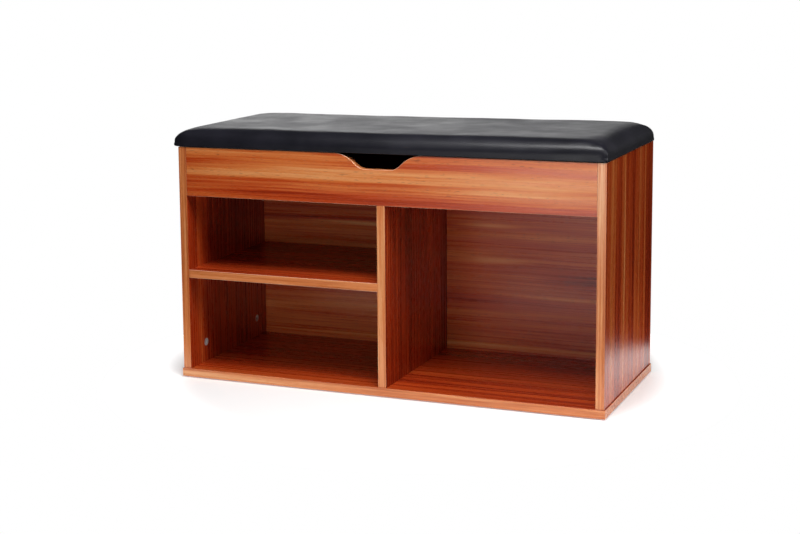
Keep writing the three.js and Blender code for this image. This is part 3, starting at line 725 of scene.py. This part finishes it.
def edited(piece, change, *arguments, **settings):
    edit = bmesh.new()
    edit.from_mesh(piece.data)
    change(edit, *arguments, **settings)
    bmesh.ops.recalc_face_normals(edit, faces=edit.faces)
    edit.to_mesh(piece.data)
    edit.free()


def shrink(edit, distance):
    edit.normal_update()
    moves = [(vertex, vertex.normal.copy()) for vertex in edit.verts]
    for vertex, normal in moves:
        vertex.co -= normal * distance


def build_lid(leather, foam):
    cover_low, cover_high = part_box("seat_cover")
    board_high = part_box("lid_board")[1]
    half_width = board_high.x + COVER_GAP + COVER_THICKNESS
    half_depth = board_high.y + COVER_GAP + COVER_THICKNESS
    bottom = cover_low.z
    top = cover_high.z - COVER_DROP
    rim = bottom + COVER_RIM

    body = loft(pad_rings(half_width, half_depth, bottom - COVER_RIM, top))
    cover = new_piece("seat_cover_leather", body)
    remesh = cover.modifiers.new("remesh", "REMESH")
    remesh.mode = "VOXEL"
    remesh.voxel_size = CLOTH_VOXEL
    baked(cover)
    edited(cover, cut_above, rim)
    stretch_cover(cover, rim, top)
    smooth = cover.modifiers.new("smooth", "SUBSURF")
    smooth.levels = smooth.render_levels = 1
    baked(cover)

    block = new_piece("seat_foam_block", bmesh.new())
    block.data = cover.data.copy()
    edited(block, shrink, COVER_THICKNESS + COVER_GAP)
    edited(block, cut_above, board_high.z + COVER_GAP, close=True)
    shape_cover(block, bottom, top)

    levels = [
        (half_width - inset, half_depth - inset, COVER_CORNER, bottom + rise) for inset, rise in SKIRT]
    levels.append((cover_high.x - COVER_TURN_IN, cover_high.y - COVER_TURN_IN, HEM_CORNER, bottom))
    edited(cover, add_skirt, levels)
    shape_cover(cover, bottom, top)
    thick = cover.modifiers.new("thick", "SOLIDIFY")
    thick.thickness = COVER_THICKNESS
    thick.offset = -1
    baked(cover)
    for piece, look, node in ((cover, leather, "seat_cover"), (block, foam, "seat_foam")):
        dress(piece, look)
        piece.data.shade_smooth()
        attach(piece, "lid")
        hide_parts(node)


def foam_look():
    make = Shader("foam")
    place = make.place()
    bubbles = make.cells(place, 700)
    cloud = make.noise(place, 25, 3)
    colour = make.mix(make.span(cloud, 0.3, 0.7), srgb("d8cba4"), srgb("efe7cd"))
    colour = make.mix(make.span(bubbles, 0.2, 0.5), srgb("b8a678"), colour)
    return make.finish(colour, 0.95, make.bump(bubbles, 0.4 * MM, 0.8), Sheen_Weight=0.3)


def lining_look():
    make = Shader("lining_cloth")
    place = make.place()
    fibre = make.noise(make.stretch(place, (900, 140, 900)), 1, 3, 0.6)
    cross = make.noise(make.stretch(place, (140, 900, 900)), 1, 3, 0.6)
    tangle = make.times(make.add(fibre, cross), 0.5)
    dots = make.cells(place, 330, randomness=0.15)
    colour = make.ramp(tangle, [(0.35, srgb("17181a")), (0.65, srgb("34363a"))])
    colour = make.mix(make.span(dots, 0.18, 0.3, 0.5, 0.0), colour, srgb("101113"))
    height = make.bump(tangle, 0.15 * MM, 0.7)
    height = make.bump(make.span(dots, 0.15, 0.35), 0.15 * MM, 0.6, height)
    return make.finish(colour, 0.9, height, Sheen_Weight=0.25)


def build_lining(cloth):
    """The non-woven cloth over the board's underside, pulled flat and a little puckered along its edges."""
    low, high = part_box("lid_lining")
    size = high - low
    edit = bmesh.new()
    bmesh.ops.create_grid(edit, x_segments=LINING_STEPS[0], y_segments=LINING_STEPS[1], size=0.5)
    for vertex in edit.verts:
        x, y = vertex.co.x * size.x, vertex.co.y * size.y
        from_edge = min(size.x / 2 - abs(x), size.y / 2 - abs(y))
        beside = x if abs(y) * size.x > abs(x) * size.y else y
        pucker = 0.5 + 0.5 * math.cos(2 * math.pi * beside / STAPLE_STEP)
        fade = math.exp(-from_edge / PUCKER_REACH)
        wave = 0.5 + 0.5 * noise.noise(Vector((x * LINING_WAVES, y * LINING_WAVES, LINING_OFFSET)))
        drop = LINING_SLACK * ((1 - PUCKER_SHARE) * wave + PUCKER_SHARE * pucker * fade)
        vertex.co = Vector(((low.x + high.x) / 2 + x, (low.y + high.y) / 2 + y, high.z - drop))
    lining = new_piece("lid_lining_cloth", edit)
    thick = lining.modifiers.new("thick", "SOLIDIFY")
    thick.thickness = LINING_THICKNESS
    thick.offset = -1
    baked(lining)
    dress(lining, cloth)
    lining.data.shade_smooth()
    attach(lining, "lid")
    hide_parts("lid_lining")


def build_staples(zinc):
    """Wire staples that hold the lining and the cover's turned-in edge to the board."""
    low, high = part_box("lid_lining")
    edit = bmesh.new()

    def staple(x, y, along_x):
        half = Vector((STAPLE_LENGTH / 2, STAPLE_WIRE / 2, STAPLE_WIRE / 2))
        if not along_x:
            half = Vector((half.y, half.x, half.z))
        block = Matrix.Translation((x, y, low.z - LINING_SLACK)) @ Matrix.Diagonal((*(2 * half), 1))
        bmesh.ops.create_cube(edit, size=1, matrix=block)

    left, right = low.x + STAPLE_INSET, high.x - STAPLE_INSET
    front, rear = low.y + STAPLE_INSET, high.y - STAPLE_INSET
    rows = ((left, right, (front, rear), True), (front, rear, (left, right), False))
    for start, end, sides, along_x in rows:
        count = round((end - start) / STAPLE_STEP)
        for i in range(count + 1):
            place = start + (end - start) * i / count
            for side in sides:
                staple(*((place, side) if along_x else (side, place)), along_x)
    staples = new_piece("lining_staples", edit)
    dress(staples, zinc)
    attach(staples, "lid")


def dress_lid():
    build_lid(faux_leather(), foam_look())
    build_lining(lining_look())
    build_staples(bpy.data.materials["zinc_steel"])
    dress(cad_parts["lid_board"], moulded("raw_board", "b08d62", 0.8, 400))


# ---- Stage, camera and light ----

FLOOR_RADIUS = 0.58
# How far from the middle the floor's own glow rises, and from what to what.
FLOOR_GLOW = (0.40, 0.54, 0.25, 1.0)
# The backdrop that the gloss sees: its turn from straight behind towards the left, the edges of its soft
# border as cosines, how high it fades out, and its strength. The rest of the room glows faintly.
BACKDROP_TURN = math.radians(38)
BACKDROP_BORDER = (0.80, 0.99, 0.0, 1.0)
BACKDROP_FADE = (0.2, 0.65, 1.0, 0.0)
HORIZON = (-0.1, 0.05, 0.0, 1.0)
BACKDROP_GLOW = 1.75
ROOM_GLOW = 0.004


def add_floor():
    make = Shader("floor_paint")
    grain = make.noise(make.place(), 40, 3)
    colour = make.mix(make.span(grain, 0.3, 0.7), (0.90, 0.90, 0.90), (0.92, 0.92, 0.92))
    paint = make.finish(colour, 0.6)
    make.surface.inputs["Emission Color"].default_value = (1, 1, 1, 1)
    reach = make.node("VectorMath", operation="LENGTH")
    make.plug(reach.inputs[0], make.place())
    make.plug(make.surface.inputs["Emission Strength"], make.span(reach.outputs["Value"], *FLOOR_GLOW))
    mesh = bpy.data.meshes.new("floor")
    edit = bmesh.new()
    bmesh.ops.create_circle(edit, cap_ends=True, radius=FLOOR_RADIUS, segments=96)
    edit.to_mesh(mesh)
    edit.free()
    floor = bpy.data.objects.new("floor", mesh)
    scene.collection.objects.link(floor)
    floor.data.materials.append(paint)


def add_camera():
    forward = Vector((-math.sin(CAMERA_YAW) * math.cos(CAMERA_PITCH),
                      math.cos(CAMERA_YAW) * math.cos(CAMERA_PITCH), math.sin(CAMERA_PITCH)))
    level = Vector((math.cos(CAMERA_YAW), math.sin(CAMERA_YAW), 0))
    upright = level.cross(forward)
    right = math.cos(CAMERA_ROLL) * level + math.sin(CAMERA_ROLL) * upright
    up = -math.sin(CAMERA_ROLL) * level + math.cos(CAMERA_ROLL) * upright
    camera = bpy.data.objects.new("camera", bpy.data.cameras.new("camera"))
    scene.collection.objects.link(camera)
    turn = Matrix((right, up, -forward)).transposed()
    camera.matrix_world = Matrix.Translation(CAMERA_PLACE) @ turn.to_4x4()
    camera.data.sensor_width = 36
    camera.data.lens = CAMERA_LENS
    camera.data.shift_x, camera.data.shift_y = CAMERA_SHIFT
    camera.data.clip_end = 50
    scene.camera = camera


def add_area(name, place, aim, size, power):
    light = bpy.data.objects.new(name, bpy.data.lights.new(name, "AREA"))
    scene.collection.objects.link(light)
    light.data.shape = "RECTANGLE"
    light.data.size, light.data.size_y = size
    light.data.energy = power
    light.location = place
    light.rotation_mode = "QUATERNION"
    light.rotation_quaternion = (aim - place).to_track_quat("-Z", "Y")


def add_world():
    """White where the camera looks straight at it. For light and gloss: a bright backdrop low behind to the
    left, and a dim room all round."""
    world = bpy.data.worlds.new("studio")
    scene.world = world
    world.use_nodes = True
    tree = world.node_tree
    tree.nodes.clear()

    def node(kind, **settings):
        made = tree.nodes.new("ShaderNode" + kind)
        for key, value in settings.items():
            setattr(made, key, value)
        return made

    def span(value, low, high, to_low, to_high):
        made = node("MapRange", interpolation_type="SMOOTHSTEP")
        tree.links.new(value, made.inputs["Value"])
        for key, number in (("From Min", low), ("From Max", high), ("To Min", to_low), ("To Max", to_high)):
            made.inputs[key].default_value = number
        return made.outputs[0]

    def times(a, b):
        made = node("Math", operation="MULTIPLY")
        tree.links.new(a, made.inputs[0])
        tree.links.new(b, made.inputs[1])
        return made.outputs[0]

    direction = node("TexCoord").outputs["Generated"]
    aim = node("VectorMath", operation="DOT_PRODUCT")
    tree.links.new(direction, aim.inputs[0])
    aim.inputs[1].default_value = (-math.sin(BACKDROP_TURN), math.cos(BACKDROP_TURN), 0)
    split = node("SeparateXYZ")
    tree.links.new(direction, split.inputs[0])
    height = split.outputs[2]
    backdrop = times(span(aim.outputs["Value"], *BACKDROP_BORDER), span(height, *BACKDROP_FADE))
    above = span(height, *HORIZON)
    glow = node("Math", operation="MULTIPLY_ADD")
    tree.links.new(times(backdrop, above), glow.inputs[0])
    glow.inputs[1].default_value = BACKDROP_GLOW
    glow.inputs[2].default_value = ROOM_GLOW
    dim = node("Background")
    tree.links.new(glow.outputs[0], dim.inputs["Strength"])
    white = node("Background")
    white.inputs["Color"].default_value = (1, 1, 1, 1)
    choose = node("MixShader")
    tree.links.new(node("LightPath").outputs["Is Camera Ray"], choose.inputs[0])
    tree.links.new(dim.outputs[0], choose.inputs[1])
    tree.links.new(white.outputs[0], choose.inputs[2])
    output = node("OutputWorld")
    tree.links.new(choose.outputs[0], output.inputs["Surface"])


# Each softbox: degrees round from the front towards the right, degrees up, distance, size and power.
LIGHT_AIM = Vector((0, 0, 0.25))
LOW_BOX = (Vector((-0.07, -2.2, 0.20)), (0.76, 0.40), 5.8)
SOFTBOXES = {
    "high_front": (20, 60, 1.5, (0.8, 0.6), 22),
    "right_front": (60, 35, 1.3, (1.0, 0.7), 3.3),
    "right_side": (90, 20, 2.2, (1.0, 0.7), 9),
}


def add_lights():
    place, size, power = LOW_BOX
    add_area("low_front", place, place + Vector((0, 1, 0)), size, power)
    for name, (round_degrees, up_degrees, distance, size, power) in SOFTBOXES.items():
        turn, rise = math.radians(round_degrees), math.radians(up_degrees)
        toward = Vector((math.sin(turn) * math.cos(rise), -math.cos(turn) * math.cos(rise), math.sin(rise)))
        add_area(name, LIGHT_AIM + distance * toward, LIGHT_AIM, size, power)


add_camera()
add_floor()
add_world()
add_lights()
scene.view_settings.view_transform = "Standard"
scene.view_settings.look = "None"

dress_boards()
dress_small_nodes()
dress_lid()
